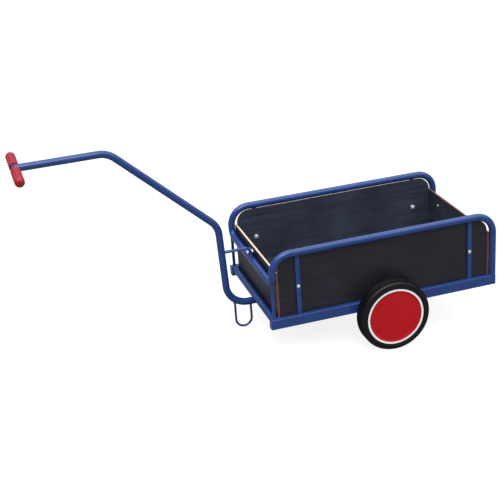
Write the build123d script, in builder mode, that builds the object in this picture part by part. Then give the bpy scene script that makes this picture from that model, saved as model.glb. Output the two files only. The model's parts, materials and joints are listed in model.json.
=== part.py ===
"""Two-wheeled tubular steel hand cart with a drawbar, a parking stand and a box of film-faced plywood.

Millimetres. The cart is drawn level: X runs from the front legs (x = 0) to the rear, Y across, Z up from
the ground under the wheels. Left and right are those of a person pulling the cart, so left is -Y.
At the end the whole cart is leant forward about its axle until the stand touches the ground, which is how
it parks, and moved so that the origin is the centre of its box, on the ground.
"""
import os
from math import acos, atan2, degrees, hypot, pi, tan

from build123d import *

# ---- Driving dimensions -------------------------------------------------------------------------------
tube_d = 25.0  # every bent and straight round tube of the frame
tube_wall = 1.5
hoop_length = 800.0  # between the centre lines of a hoop's legs
track = 470.0  # between the centre planes of the two hoops
hoop_height = 400.7  # ground to the centre line of the hoop's top
hoop_corner_r = 65.0  # centre-line radius of the hoop's upper corners
hoop_turn_r = 30.0  # centre-line radius where a front leg turns inward
turn_stub = 5.0  # straight end left after that turn
cross_height = 298.0  # ground to the centre line of the front and rear cross tubes

rail_height = 36.0
rail_width = 25.0
rail_wall = 2.0
rail_corner_r = 3.0
axle_gap = 5.0  # between the axle and the underside of the side rails above it
rail_front_overhang = 16.0  # how far the rails reach ahead of the front legs' centre
rail_rear_overhang = 8.0  # and behind the rear legs' centre
rail_cap_t = 2.0

bar_width = 15.0  # flat bar of the uprights and the strut
bar_t = 6.0
leg_width = 10.0  # flat bar of the lower front legs
leg_offset = 2.5  # of those legs ahead of the hoop's centre line
upright_inset = 88.0  # from the centre line of a hoop's leg to that of its upright

board_t = 6.5  # film-faced plywood of the four walls
floor_t = 12.0
board_gap = 0.5  # between neighbouring boards
end_board_rise = 2.3  # of an end board's top above the start of the hoops' upper bends
side_board_top_gap = 0.3  # under the hoop's top tube
side_board_corner_r = 45.0
wall_seat = 10.5  # how far an end board's end laps over a side rail
tongue_gap = 1.0  # between an end board's tongue and the side rails

bearer_w = 25.0
bearer_wall = 2.0
bearer_inset = 60.0  # of the outer floor bearers from the legs' centre lines

bolt_height = 278.0  # of the side board bolts above the ground
m6 = 6.0
m6_clearance = 0.3  # radial, in the holes
m6_head_d = 13.0
m6_head_h = 3.6
m6_nut_flats = 10.0
m6_nut_h = 5.0
m6_washer_d = 18.0
m6_washer_t = 1.6
m6_thread_stub = 2.0  # bolt end proud of its nut
dome_share = 0.7  # of a domed head's height that is rounded off

screw_d = 5.0
screw_head_d = 10.0
screw_head_h = 2.6
screw_pilot_gap = 0.1
screw_tip_gap = 0.2  # between an end screw's tip and the cross tube
end_screw_spread = 300.0  # between the two screws of an end board
floor_screw_spread = 360.0

drawbar_height = 762.0  # ground to the centre line of the drawbar's level top run
overall_reach = 1570.0  # front of the grips to the rear of the rails, cart level
drawbar_slope = 43.2  # degrees below level of the slanted run
drawbar_lean = 2.4  # degrees from upright of the lower run
drawbar_foot_x = -96.0  # where the lower run's line would meet the foot run's
drawbar_bend_r = 75.0
drawbar_foot_r = 76.0
drawbar_notch = 2.0  # how deep the foot is coped around the front bottom tube
drawbar_upright_gap = 108.6  # the upper bend's corner, ahead of the front legs
drawbar_plug_t = 2.0

t_bar_d = 22.0
t_bar_wall = 2.0
t_bar_drop = 3.0  # of the T-bar's axis below the drawbar's
grip_d = 33.0
grip_gap = 41.0  # bare tube between the two grips
grip_length = 124.0
grip_end_t = 3.5
grip_end_r = 13.0
grip_mouth_r = 1.5

strut_height = 342.0  # ground to the middle of the strut's thickness
strut_t = 5.0
strut_bend_r = 6.0  # inner radius of the turned-down tab
lug_width = 28.0
lug_t = 5.0
lug_rise = 12.0  # of the lug's top above the strut bolt
strut_bolt_drop = 15.0  # of the bolt below the strut
m8 = 8.0
m8_clearance = 0.25
m8_flats = 13.0
m8_head_h = 5.3
m8_nut_h = 6.5
m8_thread_stub = 1.5

stand_rod_d = 8.0
stand_half_width = 28.5
stand_centre = 44.0  # of the stand ahead of the front legs
stand_bottom = 45.0  # ground to the stand, cart level

axle_d = 20.0
axle_x = 406.0
tyre_r = 125.0
tyre_width = 52.0
tyre_gap = 3.0  # between a tyre and its side rail
tyre_shoulder_r = 9.0
tyre_seat_r = 88.0  # radius of the rim drum
drum_t = 3.0
drum_inset = 4.5  # of the drum's edges from the tyre's sides
web_recess = 3.0  # of the web from the drum's inner edge
web_t = 4.0
web_hole_d = 26.0
web_hole_pcd = 112.0
web_hole_count = 6
hub_d = 40.0
hub_bore_d = 27.0
hub_length = 36.0
hub_end_gap = 0.5
bush_length = 15.0
bush_flange_t = 2.0
bush_flange_d = 33.0
axle_fit = 0.05  # radial running clearance of the bushes
thrust_washer_t = 2.5
thrust_washer_d = 32.0
split_pin_d = 4.0
split_pin_leg = 15.0
split_pin_head_r = 2.8
split_pin_offset = 3.5  # from the washer to the pin's centre line
axle_end = 2.0  # axle beyond the pin's edge
axle_chamfer = 1.0
spacer_d = 28.0
bracket_t = 8.0
bracket_width = 56.0
bracket_drop = 17.0  # below the axle's centre

cover_r = 94.0
cover_t = 1.6
cover_dish = 2.0
ring_width = 8.0
ring_t = 4.0
ring_recess = 0.6  # of the white ring from the tyre's side

# ---- Derived places -----------------------------------------------------------------------------------
tube_r = tube_d / 2
half_track = track / 2
rail_bottom = tyre_r + axle_d / 2 + axle_gap
rail_top = rail_bottom + rail_height
rail_inner_y = half_track - rail_width / 2
rail_outer_y = half_track + rail_width / 2
rail_rear = hoop_length + rail_rear_overhang
bottom_tube_z = rail_top - tube_r
board_outer_y = half_track - bar_t / 2
board_inner_y = board_outer_y - board_t
end_board_x = tube_r + board_gap
end_board_height = hoop_height - hoop_corner_r + end_board_rise - rail_top
side_board_x = end_board_x + board_t + board_gap
side_board_top = hoop_height - tube_r - side_board_top_gap
upright_xs = {"front": upright_inset, "rear": hoop_length - upright_inset}
sides = {"left": -1, "right": 1}
foot_z = bottom_tube_z - tube_d + drawbar_notch
t_bar_x = rail_rear - overall_reach + grip_d / 2
t_bar_z = drawbar_height - t_bar_drop

hub_inner_y = rail_outer_y + tyre_gap
hub_outer_y = hub_inner_y + hub_length
tyre_inner_y = rail_outer_y + tyre_gap
tyre_outer_y = tyre_inner_y + tyre_width
pin_y = hub_outer_y + hub_end_gap + thrust_washer_t + split_pin_offset
axle_half = pin_y + split_pin_d / 2 + axle_end

os.makedirs("parts", exist_ok=True)
pieces = {}


def keep(builder, name):
    """Label a finished piece and keep it until the cart is stood on its stand."""
    builder.part.label = name
    pieces[name] = builder.part


def ring_section(outer_r, wall):
    """The ring-shaped section of a tube, in the open sketch."""
    Circle(outer_r)
    Circle(outer_r - wall, mode=Mode.SUBTRACT)


def tube_along_y(name, x, z, half_length, notch=None):
    """A straight frame tube across the cart, coped around the solid it is welded to."""
    with BuildPart() as tube:
        with BuildSketch(Plane((x, -half_length, z), x_dir=(1, 0, 0), z_dir=(0, 1, 0))):
            ring_section(tube_r, tube_wall)
        extrude(amount=2 * half_length)
        if notch:
            for solid in notch:
                add(solid, mode=Mode.SUBTRACT)
    keep(tube, name)


# ---- Side hoops: a bent tube up the rear, along the top, down the front and in to the cross tube -------
def hoop_path(side):
    y = side * half_track
    return [
        (hoop_length, y, rail_top),
        (hoop_length, y, hoop_height),
        (0, y, hoop_height),
        (0, y, cross_height),
        (0, side * (half_track - hoop_turn_r - turn_stub), cross_height),
    ]


hoop_radii = [hoop_corner_r, hoop_corner_r, hoop_turn_r]
hoop_bodies = {}
for side_name, side in sides.items():
    with BuildPart() as hoop_body:
        with BuildLine() as path:
            FilletPolyline(*hoop_path(side), radius=hoop_radii)
        with BuildSketch(Plane(path.line @ 0, z_dir=path.line % 0)):
            Circle(tube_r)
        sweep()
    hoop_bodies[side_name] = hoop_body.part

    with BuildPart() as hoop:
        with BuildLine() as path:
            FilletPolyline(*hoop_path(side), radius=hoop_radii)
        with BuildSketch(Plane(path.line @ 0, z_dir=path.line % 0)):
            ring_section(tube_r, tube_wall)
        sweep()
    keep(hoop, f"{side_name}_hoop")

cross_half = half_track - hoop_turn_r - turn_stub
tube_along_y("front_cross_tube", 0, cross_height, cross_half)
tube_along_y("rear_cross_tube", hoop_length, cross_height, half_track - tube_r / 4, hoop_bodies.values())
tube_along_y("front_bottom_tube", 0, bottom_tube_z, rail_inner_y)
tube_along_y("rear_bottom_tube", hoop_length, bottom_tube_z, rail_inner_y)

# ---- Side rails: rectangular tubes, each closed by two welded caps -------------------------------------
rail_front = -rail_front_overhang
rail_centre_z = rail_bottom + rail_height / 2
for side_name, side in sides.items():
    with BuildPart() as rail:
        with BuildSketch(Plane((rail_front + rail_cap_t, side * half_track, rail_centre_z),
                               x_dir=(0, 1, 0), z_dir=(1, 0, 0))):
            RectangleRounded(rail_width, rail_height, rail_corner_r)
            RectangleRounded(rail_width - 2 * rail_wall, rail_height - 2 * rail_wall,
                             rail_corner_r - rail_wall, mode=Mode.SUBTRACT)
        extrude(amount=rail_rear - rail_front - 2 * rail_cap_t)
    keep(rail, f"{side_name}_side_rail")

with BuildPart() as rail_caps:
    for x in (rail_front, rail_rear - rail_cap_t):
        with BuildSketch(Plane((x, 0, rail_centre_z), x_dir=(0, 1, 0), z_dir=(1, 0, 0))):
            with Locations((-half_track, 0), (half_track, 0)):
                RectangleRounded(rail_width, rail_height, rail_corner_r)
        extrude(amount=rail_cap_t)
keep(rail_caps, "rail_end_caps")

# ---- Flat bars: four bolted uprights and the two short legs under the hoops' turns ---------------------
bolt_hole_r = m6 / 2 + m6_clearance


def bolt_seat(x, side, y):
    """The plane of a side board bolt at height bolt_height, facing out of the cart."""
    return Plane((x, side * y, bolt_height), x_dir=(1, 0, 0), z_dir=(0, side, 0))


for side_name, side in sides.items():
    for end_name, x in upright_xs.items():
        with BuildPart() as upright:
            with BuildSketch(Plane((x, side * half_track, rail_top))):
                Rectangle(bar_width, bar_t)
            extrude(amount=hoop_height - rail_top)
            add(hoop_bodies[side_name], mode=Mode.SUBTRACT)
            with Locations(bolt_seat(x, side, half_track + bar_t / 2)):
                Hole(bolt_hole_r, depth=bar_t)
        keep(upright, f"{side_name}_{end_name}_upright")

    with BuildPart() as leg:
        with BuildSketch(Plane((-leg_offset, side * half_track, rail_top))):
            Rectangle(leg_width, bar_t)
        extrude(amount=cross_height + hoop_turn_r - rail_top)
        add(hoop_bodies[side_name], mode=Mode.SUBTRACT)
    keep(leg, f"{side_name}_front_leg")

# ---- Floor bearers and floor --------------------------------------------------------------------------
bearer_xs = {"front": bearer_inset, "middle": axle_x, "rear": hoop_length - bearer_inset}
floor_screw_ys = (-floor_screw_spread / 2, floor_screw_spread / 2)
for end_name, x in bearer_xs.items():
    with BuildPart() as bearer:
        end = Plane((x, -rail_inner_y, rail_top - bearer_w / 2), x_dir=(1, 0, 0), z_dir=(0, 1, 0))
        with BuildSketch(end):
            Rectangle(bearer_w, bearer_w)
            Rectangle(bearer_w - 2 * bearer_wall, bearer_w - 2 * bearer_wall, mode=Mode.SUBTRACT)
        extrude(amount=2 * rail_inner_y)
        with Locations(*[Location((x, y, rail_top)) for y in floor_screw_ys]):
            Hole(screw_d / 2 + screw_pilot_gap, depth=2 * bearer_wall)
    keep(bearer, f"{end_name}_floor_bearer")

floor_screw_points = [(x, y) for x in bearer_xs.values() for y in floor_screw_ys]
floor_top = rail_top + floor_t
with BuildPart() as floor_board:
    with BuildSketch(Plane.XY.offset(rail_top)):
        with Locations((hoop_length / 2, 0)):
            Rectangle(hoop_length - 2 * side_board_x, 2 * (rail_inner_y - board_gap))
    extrude(amount=floor_t)
    with Locations(*[Location((x, y, floor_top)) for x, y in floor_screw_points]):
        CounterSinkHole(screw_d / 2 + screw_pilot_gap, screw_head_d / 2 + screw_pilot_gap)
keep(floor_board, "floor_board")

with BuildPart() as floor_screws:
    with BuildSketch(Plane.XY.offset(floor_top)):
        with Locations(*floor_screw_points):
            Circle(screw_head_d / 2)
    extrude(amount=-(screw_head_d - screw_d) / 2, taper=45)
    with BuildSketch(Plane.XY.offset(floor_top)):
        with Locations(*floor_screw_points):
            Circle(screw_d / 2)
    extrude(amount=-(floor_t + 2 * bearer_wall))
keep(floor_screws, "floor_screws")

# ---- Side boards, with rounded upper corners, on the side rails ----------------------------------------
for side_name, side in sides.items():
    with BuildPart() as side_board:
        with BuildSketch(Plane((0, side * board_outer_y, 0), x_dir=(1, 0, 0), z_dir=(0, -1, 0))) as outline:
            with BuildLine():
                Polyline(
                    (side_board_x, rail_top),
                    (side_board_x, side_board_top),
                    (hoop_length - side_board_x, side_board_top),
                    (hoop_length - side_board_x, rail_top),
                    close=True,
                )
            make_face()
            fillet(outline.vertices().group_by(Axis.Y)[-1], side_board_corner_r)
        extrude(amount=side * board_t)
        for x in upright_xs.values():
            with Locations(bolt_seat(x, side, board_outer_y)):
                Hole(bolt_hole_r, depth=board_t)
    keep(side_board, f"{side_name}_side_board")

# ---- End boards, lapping the side boards' ends, screwed to the cross tubes from inside -----------------
# Between the rails each has a tongue that reaches down behind the bottom tube and closes the box.
end_screw_points = [(-end_screw_spread / 2, 0), (end_screw_spread / 2, 0)]
end_half_width = rail_inner_y + wall_seat
tongue_half_width = rail_inner_y - tongue_gap
for end_name, x, inward in (("front", end_board_x, 1), ("rear", hoop_length - end_board_x, -1)):
    outer_face = Plane((x, 0, rail_top), x_dir=(0, inward, 0), z_dir=(inward, 0, 0))
    with BuildPart() as end_board:
        with BuildSketch(outer_face):
            Rectangle(2 * end_half_width, end_board_height, align=(Align.CENTER, Align.MIN))
            Rectangle(2 * tongue_half_width, rail_top - bottom_tube_z, align=(Align.CENTER, Align.MAX))
        extrude(amount=board_t)
        with BuildSketch(outer_face):
            with Locations(*[(y, cross_height - rail_top) for y, _ in end_screw_points]):
                Circle(screw_d / 2 + screw_pilot_gap)
        extrude(amount=board_t, mode=Mode.SUBTRACT)
    keep(end_board, f"{end_name}_board")

    head_seat = Plane((x + inward * board_t, 0, cross_height), x_dir=(0, inward, 0), z_dir=(inward, 0, 0))
    with BuildPart() as end_screws:
        with BuildSketch(head_seat):
            with Locations(*end_screw_points):
                Circle(screw_head_d / 2)
        extrude(amount=screw_head_h)
        head_tops = end_screws.faces().sort_by(Axis.X, reverse=inward < 0)[-2:]
        fillet(head_tops.edges(), screw_head_h * dome_share)
        with BuildSketch(head_seat):
            with Locations(*end_screw_points):
                Circle(screw_d / 2)
        extrude(amount=screw_tip_gap - board_t - board_gap)
    keep(end_screws, f"{end_name}_board_screws")

# ---- Side board bolts: dome heads outside the uprights, washers and nuts inside the boards -------------
bolt_length = bar_t + board_t + m6_washer_t + m6_nut_h + m6_thread_stub
head_top_y = half_track + bar_t / 2 + m6_head_h
seats = [(x, side) for side in sides.values() for x in upright_xs.values()]
with BuildPart() as board_bolts:
    for x, side in seats:
        with BuildSketch(bolt_seat(x, side, half_track + bar_t / 2)):
            Circle(m6_head_d / 2)
        extrude(amount=m6_head_h)
    rims = board_bolts.edges().filter_by(GeomType.CIRCLE)
    head_rims = rims.filter_by(lambda rim: abs(abs(rim.center().Y) - head_top_y) < m6_head_h / 2)
    fillet(head_rims, m6_head_h * dome_share)
    for x, side in seats:
        with BuildSketch(bolt_seat(x, side, half_track + bar_t / 2)):
            Circle(m6 / 2)
        extrude(amount=-bolt_length)
keep(board_bolts, "side_board_bolts")

with BuildPart() as board_washers:
    for x, side in seats:
        with BuildSketch(bolt_seat(x, side, board_inner_y)):
            Circle(m6_washer_d / 2)
            Circle(m6 / 2, mode=Mode.SUBTRACT)
        extrude(amount=-m6_washer_t)
keep(board_washers, "side_board_washers")

with BuildPart() as board_nuts:
    for x, side in seats:
        with BuildSketch(bolt_seat(x, side, board_inner_y - m6_washer_t)):
            RegularPolygon(m6_nut_flats / 2, 6, major_radius=False)
            Circle(m6 / 2, mode=Mode.SUBTRACT)
        extrude(amount=-m6_nut_h)
keep(board_nuts, "side_board_nuts")

# ---- Drawbar: level run, slanted run, steep run, then a sweep under the front bottom tube --------------
slope = tan(drawbar_slope * pi / 180)
lean_in = tan(drawbar_lean * pi / 180)
upper_corner_z = foot_z + (-drawbar_upright_gap - drawbar_foot_x) / -lean_in
level_corner_x = -drawbar_upright_gap - (drawbar_height - upper_corner_z) / slope
drawbar_points = [
    (t_bar_x, 0, drawbar_height),
    (level_corner_x, 0, drawbar_height),
    (-drawbar_upright_gap, 0, upper_corner_z),
    (drawbar_foot_x, 0, foot_z),
    (tube_r, 0, foot_z),
]
drawbar_radii = [drawbar_bend_r, drawbar_bend_r, drawbar_foot_r]

with BuildPart() as t_bar_body:
    with BuildSketch(Plane((t_bar_x, 0, t_bar_z), x_dir=(1, 0, 0), z_dir=(0, 1, 0))):
        Circle(t_bar_d / 2)
    extrude(amount=grip_gap + grip_length, both=True)

with BuildPart() as bottom_tube_body:
    with BuildSketch(Plane((0, 0, bottom_tube_z), x_dir=(1, 0, 0), z_dir=(0, 1, 0))):
        Circle(tube_r)
    extrude(amount=tube_d, both=True)

with BuildPart() as drawbar_body:
    with BuildLine() as path:
        FilletPolyline(*drawbar_points, radius=drawbar_radii)
    with BuildSketch(Plane(path.line @ 0, z_dir=path.line % 0)):
        Circle(tube_r)
    sweep()

with BuildPart() as drawbar:
    with BuildLine() as path:
        FilletPolyline(*drawbar_points, radius=drawbar_radii)
    with BuildSketch(Plane(path.line @ 0, z_dir=path.line % 0)):
        ring_section(tube_r, tube_wall)
    sweep()
    add(t_bar_body.part, mode=Mode.SUBTRACT)
    add(bottom_tube_body.part, mode=Mode.SUBTRACT)
keep(drawbar, "drawbar")

with BuildPart() as drawbar_plug:
    with BuildSketch(Plane((tube_r, 0, foot_z), x_dir=(0, 1, 0), z_dir=(1, 0, 0))):
        Circle(tube_r)
    extrude(amount=drawbar_plug_t)
    add(bottom_tube_body.part, mode=Mode.SUBTRACT)
keep(drawbar_plug, "drawbar_plug")

# ---- T-bar and its two push-on grips ------------------------------------------------------------------
grip_start = grip_gap / 2
grip_end = grip_start + grip_length
t_bar_half = grip_end - grip_end_t
with BuildPart() as t_bar:
    with BuildSketch(Plane((t_bar_x, -t_bar_half, t_bar_z), x_dir=(1, 0, 0), z_dir=(0, 1, 0))):
        ring_section(t_bar_d / 2, t_bar_wall)
    extrude(amount=2 * t_bar_half)
keep(t_bar, "t_bar")

for side_name, side in sides.items():
    mouth = Plane((t_bar_x, side * grip_start, t_bar_z), x_dir=(1, 0, 0), z_dir=(0, side, 0))
    with BuildPart() as grip:
        with BuildSketch(mouth):
            Circle(grip_d / 2)
        extrude(amount=grip_length)
        rims = grip.edges().filter_by(GeomType.CIRCLE).sort_by(Axis.Y, reverse=side < 0)
        fillet(rims[-1], grip_end_r)
        fillet(rims[0], grip_mouth_r)
        with BuildSketch(mouth):
            Circle(t_bar_d / 2)
        extrude(amount=t_bar_half - grip_start, mode=Mode.SUBTRACT)
    keep(grip, f"{side_name}_grip")

# ---- Strut from the drawbar back to a lug on the front cross tube --------------------------------------
strut_bolt_z = strut_height - strut_bolt_drop
lug_rear = 0.0
lug_front = lug_rear - lug_t
tab_front = lug_front - strut_t
with BuildPart() as cross_tube_body:
    with BuildSketch(Plane((0, 0, cross_height), x_dir=(1, 0, 0), z_dir=(0, 1, 0))):
        Circle(tube_r)
    extrude(amount=lug_width, both=True)

with BuildPart() as lug:
    with BuildSketch(Plane((lug_front, 0, 0), x_dir=(0, 1, 0), z_dir=(1, 0, 0))) as outline:
        with Locations((0, cross_height)):
            Rectangle(lug_width, strut_bolt_z + lug_rise - cross_height, align=(Align.CENTER, Align.MIN))
        fillet(outline.vertices().group_by(Axis.Y)[-1], lug_rise / 2)
        with Locations((0, strut_bolt_z)):
            Circle(m8 / 2 + m8_clearance, mode=Mode.SUBTRACT)
    extrude(amount=lug_t)
    add(cross_tube_body.part, mode=Mode.SUBTRACT)
keep(lug, "strut_lug")

tab_bottom = strut_bolt_z - bar_width / 2
with BuildPart() as strut:
    with BuildSketch(Plane((0, -bar_width / 2, 0), x_dir=(1, 0, 0), z_dir=(0, 1, 0))) as outline:
        with BuildLine():
            FilletPolyline(
                (-drawbar_upright_gap, -strut_height - strut_t / 2),
                (lug_front, -strut_height - strut_t / 2),
                (lug_front, -tab_bottom),
                radius=strut_bend_r + strut_t,
            )
            Line((lug_front, -tab_bottom), (tab_front, -tab_bottom))
            FilletPolyline(
                (tab_front, -tab_bottom),
                (tab_front, -strut_height + strut_t / 2),
                (-drawbar_upright_gap, -strut_height + strut_t / 2),
                radius=strut_bend_r,
            )
            Line((-drawbar_upright_gap, -strut_height + strut_t / 2),
                 (-drawbar_upright_gap, -strut_height - strut_t / 2))
        make_face()
    extrude(amount=bar_width)
    with Locations(Plane((tab_front, 0, strut_bolt_z), x_dir=(0, -1, 0), z_dir=(-1, 0, 0))):
        Hole(m8 / 2 + m8_clearance, depth=strut_t)
    add(drawbar_body.part, mode=Mode.SUBTRACT)
keep(strut, "strut")

bolt_front = Plane((tab_front, 0, strut_bolt_z), x_dir=(0, -1, 0), z_dir=(-1, 0, 0))
with BuildPart() as strut_bolt:
    with BuildSketch(bolt_front):
        RegularPolygon(m8_flats / 2, 6, major_radius=False)
    extrude(amount=m8_head_h)
    with BuildSketch(bolt_front):
        Circle(m8 / 2)
    extrude(amount=-(strut_t + lug_t + m8_nut_h + m8_thread_stub))
keep(strut_bolt, "strut_bolt")

with BuildPart() as strut_nut:
    with BuildSketch(Plane((lug_rear, 0, strut_bolt_z), x_dir=(0, 1, 0), z_dir=(1, 0, 0))):
        RegularPolygon(m8_flats / 2, 6, major_radius=False)
        Circle(m8 / 2, mode=Mode.SUBTRACT)
    extrude(amount=m8_nut_h)
keep(strut_nut, "strut_nut")

# ---- Parking stand: a U of round rod welded under the drawbar's foot -----------------------------------
stand_r = stand_rod_d / 2
stand_turn_z = stand_bottom + stand_r + stand_half_width
with BuildPart() as stand:
    with BuildLine() as path:
        Line((-stand_centre - stand_half_width, 0, foot_z + tube_d),
             (-stand_centre - stand_half_width, 0, stand_turn_z))
        ThreePointArc(
            (-stand_centre - stand_half_width, 0, stand_turn_z),
            (-stand_centre, 0, stand_turn_z - stand_half_width),
            (-stand_centre + stand_half_width, 0, stand_turn_z),
        )
        Line((-stand_centre + stand_half_width, 0, stand_turn_z),
             (-stand_centre + stand_half_width, 0, foot_z))
    with BuildSketch(Plane(path.line @ 0, z_dir=path.line % 0)):
        Circle(stand_r)
    sweep()
    add(drawbar_body.part, mode=Mode.SUBTRACT)
    lowest = stand.solids().sort_by(Axis.Z)[0]
    add(lowest, mode=Mode.INTERSECT)
keep(stand, "stand")

# ---- Axle, its brackets under the side rails, spacers, washers and split pins --------------------------
with BuildPart() as axle:
    with BuildSketch(Plane((axle_x, 0, tyre_r), x_dir=(1, 0, 0), z_dir=(0, 1, 0))):
        Circle(axle_d / 2)
    extrude(amount=axle_half, both=True)
    for side in sides.values():
        with Locations(Plane((axle_x, side * pin_y, tyre_r))):
            Hole(split_pin_d / 2)
    chamfer(axle.edges().group_by(Axis.Y)[0] + axle.edges().group_by(Axis.Y)[-1], axle_chamfer)
keep(axle, "axle")

for side_name, side in sides.items():
    with BuildPart() as bracket:
        with BuildSketch(Plane((axle_x, side * half_track + bracket_t / 2, 0), x_dir=(1, 0, 0),
                               z_dir=(0, -1, 0))) as outline:
            with Locations((0, tyre_r - bracket_drop)):
                Rectangle(bracket_width, rail_bottom - tyre_r + bracket_drop, align=(Align.CENTER, Align.MIN))
            chamfer(outline.vertices().group_by(Axis.Y)[0], bracket_drop / 2)
            with Locations((0, tyre_r)):
                Circle(axle_d / 2, mode=Mode.SUBTRACT)
        extrude(amount=bracket_t)
    keep(bracket, f"{side_name}_axle_bracket")

with BuildPart() as spacers:
    for side in sides.values():
        with BuildSketch(Plane((axle_x, side * (half_track + bracket_t / 2), tyre_r),
                               x_dir=(1, 0, 0), z_dir=(0, side, 0))):
            ring_section(spacer_d / 2, (spacer_d - axle_d) / 2)
        extrude(amount=hub_inner_y - hub_end_gap - half_track - bracket_t / 2)
keep(spacers, "axle_spacers")

with BuildPart() as thrust_washers:
    for side in sides.values():
        with BuildSketch(Plane((axle_x, side * (hub_outer_y + hub_end_gap), tyre_r),
                               x_dir=(1, 0, 0), z_dir=(0, side, 0))):
            ring_section(thrust_washer_d / 2, (thrust_washer_d - axle_d) / 2)
        extrude(amount=thrust_washer_t)
keep(thrust_washers, "axle_washers")

with BuildPart() as split_pins:
    for side in sides.values():
        with BuildSketch(Plane.XY.offset(tyre_r - split_pin_leg)):
            with Locations((axle_x, side * pin_y)):
                Circle(split_pin_d / 2)
        extrude(amount=split_pin_leg + axle_d / 2 + split_pin_head_r)
        with Locations((axle_x, side * pin_y, tyre_r + axle_d / 2 + split_pin_head_r)):
            Sphere(split_pin_head_r)
keep(split_pins, "split_pins")

# ---- Wheels: drum and web, hub tube, two flanged bushes, solid tyre, cover disc and white ring ---------
hub_r = hub_d / 2
drum_inner_y = tyre_inner_y + drum_inset
drum_outer_y = tyre_outer_y - drum_inset
web_y = drum_inner_y + web_recess
ring_r = cover_r + ring_width
ring_outer_y = tyre_outer_y - ring_recess
ring_back_y = ring_outer_y - ring_t


def wheel_plane(side):
    """Half-section plane of a wheel: local x is the radius, local y the distance from the cart's middle."""
    return Plane((axle_x, 0, tyre_r), x_dir=(1, 0, 0), z_dir=(0, 0, side))


for side_name, side in sides.items():
    wheel_axis = Axis((axle_x, 0, tyre_r), (0, 1, 0))

    with BuildPart() as rim:
        with BuildSketch(wheel_plane(side)):
            with BuildLine():
                Polyline(
                    (hub_r, web_y), (tyre_seat_r - drum_t, web_y), (tyre_seat_r - drum_t, drum_inner_y),
                    (tyre_seat_r, drum_inner_y), (tyre_seat_r, drum_outer_y),
                    (tyre_seat_r - drum_t, drum_outer_y), (tyre_seat_r - drum_t, web_y + web_t),
                    (hub_r, web_y + web_t), close=True,
                )
            make_face()
        revolve(axis=wheel_axis)
        with Locations(Plane((axle_x, side * (web_y + web_t), tyre_r), x_dir=(1, 0, 0), z_dir=(0, side, 0))):
            with PolarLocations(web_hole_pcd / 2, web_hole_count, start_angle=30):
                Hole(web_hole_d / 2, depth=web_t)
    keep(rim, f"{side_name}_wheel_rim")

    with BuildPart() as hub:
        with BuildSketch(Plane((axle_x, side * hub_inner_y, tyre_r), x_dir=(1, 0, 0), z_dir=(0, side, 0))):
            ring_section(hub_r, (hub_d - hub_bore_d) / 2)
        extrude(amount=hub_length)
        for end_y, inward in ((hub_inner_y, side), (hub_outer_y, -side)):
            with BuildSketch(Plane((axle_x, side * end_y, tyre_r), x_dir=(1, 0, 0), z_dir=(0, inward, 0))):
                Circle(bush_flange_d / 2)
            extrude(amount=bush_flange_t, mode=Mode.SUBTRACT)
    keep(hub, f"{side_name}_hub")

    with BuildPart() as bushes:
        for end_y, inward in ((hub_inner_y, side), (hub_outer_y, -side)):
            end = Plane((axle_x, side * end_y, tyre_r), x_dir=(1, 0, 0), z_dir=(0, inward, 0))
            with BuildSketch(end):
                Circle(hub_bore_d / 2)
            extrude(amount=bush_length)
            with BuildSketch(end):
                Circle(bush_flange_d / 2)
            extrude(amount=bush_flange_t)
            with BuildSketch(end):
                Circle(axle_d / 2 + axle_fit)
            extrude(amount=bush_length, mode=Mode.SUBTRACT)
    keep(bushes, f"{side_name}_hub_bushes")

    with BuildPart() as tyre:
        with BuildSketch(wheel_plane(side)) as section:
            with BuildLine():
                Polyline(
                    (tyre_seat_r, tyre_inner_y), (tyre_r, tyre_inner_y), (tyre_r, tyre_outer_y),
                    (ring_r, tyre_outer_y), (ring_r, ring_back_y), (tyre_seat_r, ring_back_y), close=True,
                )
            make_face()
            fillet(section.vertices().group_by(Axis.X)[-1], tyre_shoulder_r)
        revolve(axis=wheel_axis)
    keep(tyre, f"{side_name}_tyre")

    with BuildPart() as ring:
        with BuildSketch(Plane((axle_x, side * ring_back_y, tyre_r), x_dir=(1, 0, 0), z_dir=(0, side, 0))):
            ring_section(ring_r, ring_width)
        extrude(amount=ring_t)
        fillet(ring.edges().filter_by(GeomType.CIRCLE).group_by(Axis.Y)[-1 if side > 0 else 0], ring_t / 4)
    keep(ring, f"{side_name}_white_ring")

    with BuildPart() as cover:
        with BuildSketch(wheel_plane(side)):
            with BuildLine():
                Polyline(
                    (0, ring_outer_y - cover_dish), (cover_r - 3 * cover_dish, ring_outer_y - cover_dish),
                    (cover_r - cover_dish, ring_outer_y), (cover_r, ring_outer_y),
                    (cover_r, ring_outer_y - cover_t), (cover_r - cover_dish, ring_outer_y - cover_t),
                    (cover_r - 3 * cover_dish, ring_outer_y - cover_dish - cover_t),
                    (0, ring_outer_y - cover_dish - cover_t), close=True,
                )
            make_face()
        revolve(axis=wheel_axis)
    keep(cover, f"{side_name}_wheel_cover")

# ---- Park the cart: lean it about the axle until the stand's round bottom meets the ground -------------
stand_ahead = axle_x + stand_centre
stand_rise = stand_turn_z - tyre_r
stand_outer_r = stand_half_width + stand_r
lean = degrees(
    acos((stand_outer_r - tyre_r) / hypot(stand_rise, stand_ahead)) - atan2(stand_ahead, stand_rise)
)
axle_line = Axis((axle_x, 0, tyre_r), (0, 1, 0))
parked = {name: piece.rotate(axle_line, -lean) for name, piece in pieces.items()}
box = Compound([solid for piece in parked.values() for solid in piece.solids()]).bounding_box()
centring = Pos(-(box.min.X + box.max.X) / 2, -(box.min.Y + box.max.Y) / 2, -box.min.Z)
for name, piece in parked.items():
    placed = piece.moved(centring)
    placed.label = name
    export_step(placed, f"parts/{name}.step")
print(f"lean {lean:.3f} degrees, box {box.size.X:.1f} x {box.size.Y:.1f} x {box.size.Z:.1f}")
print(f"axle at x {axle_x - (box.min.X + box.max.X) / 2:.3f}, z {tyre_r - box.min.Z:.3f}")
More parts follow.
